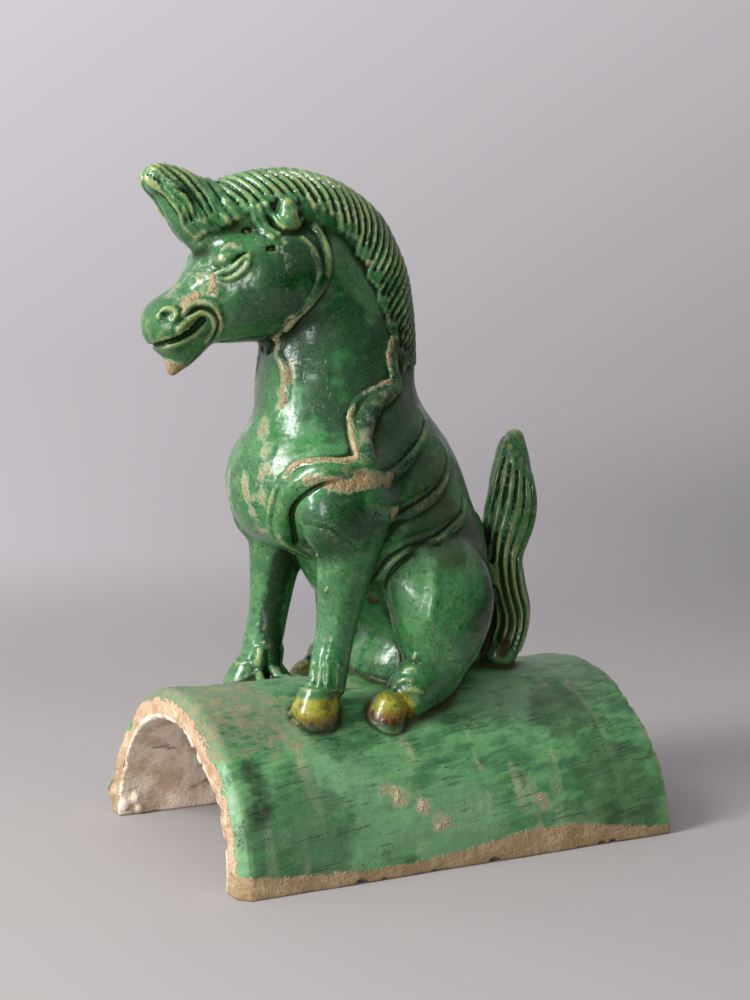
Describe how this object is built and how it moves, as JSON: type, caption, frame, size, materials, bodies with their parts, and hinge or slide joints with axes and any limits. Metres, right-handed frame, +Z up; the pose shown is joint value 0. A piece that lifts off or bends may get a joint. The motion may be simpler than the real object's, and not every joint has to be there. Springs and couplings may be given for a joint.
{
  "type": "ridge tile with a seated horse",
  "caption": "Half-round ridge tile carrying a seated horse with a combed mane, flame-shaped forelock and tail, and cloud bands over the shoulders, glazed green.",
  "frame": {"origin": "on the plane of the tile's two feet, under the middle of the whole ornament's box", "axes": "+Z up, -Y the way the horse looks and along the ridge, +X the horse's left"},
  "size_m": [0.16, 0.2414, 0.3139],
  "materials": {
    "green_glaze": "glossy lead glaze, mottled green, worn to buff clay on edges, with amber hooves"
  },
  "bodies": {
    "root": {"horse_ridge_tile": "green_glaze"}
  },
  "joints": []
}
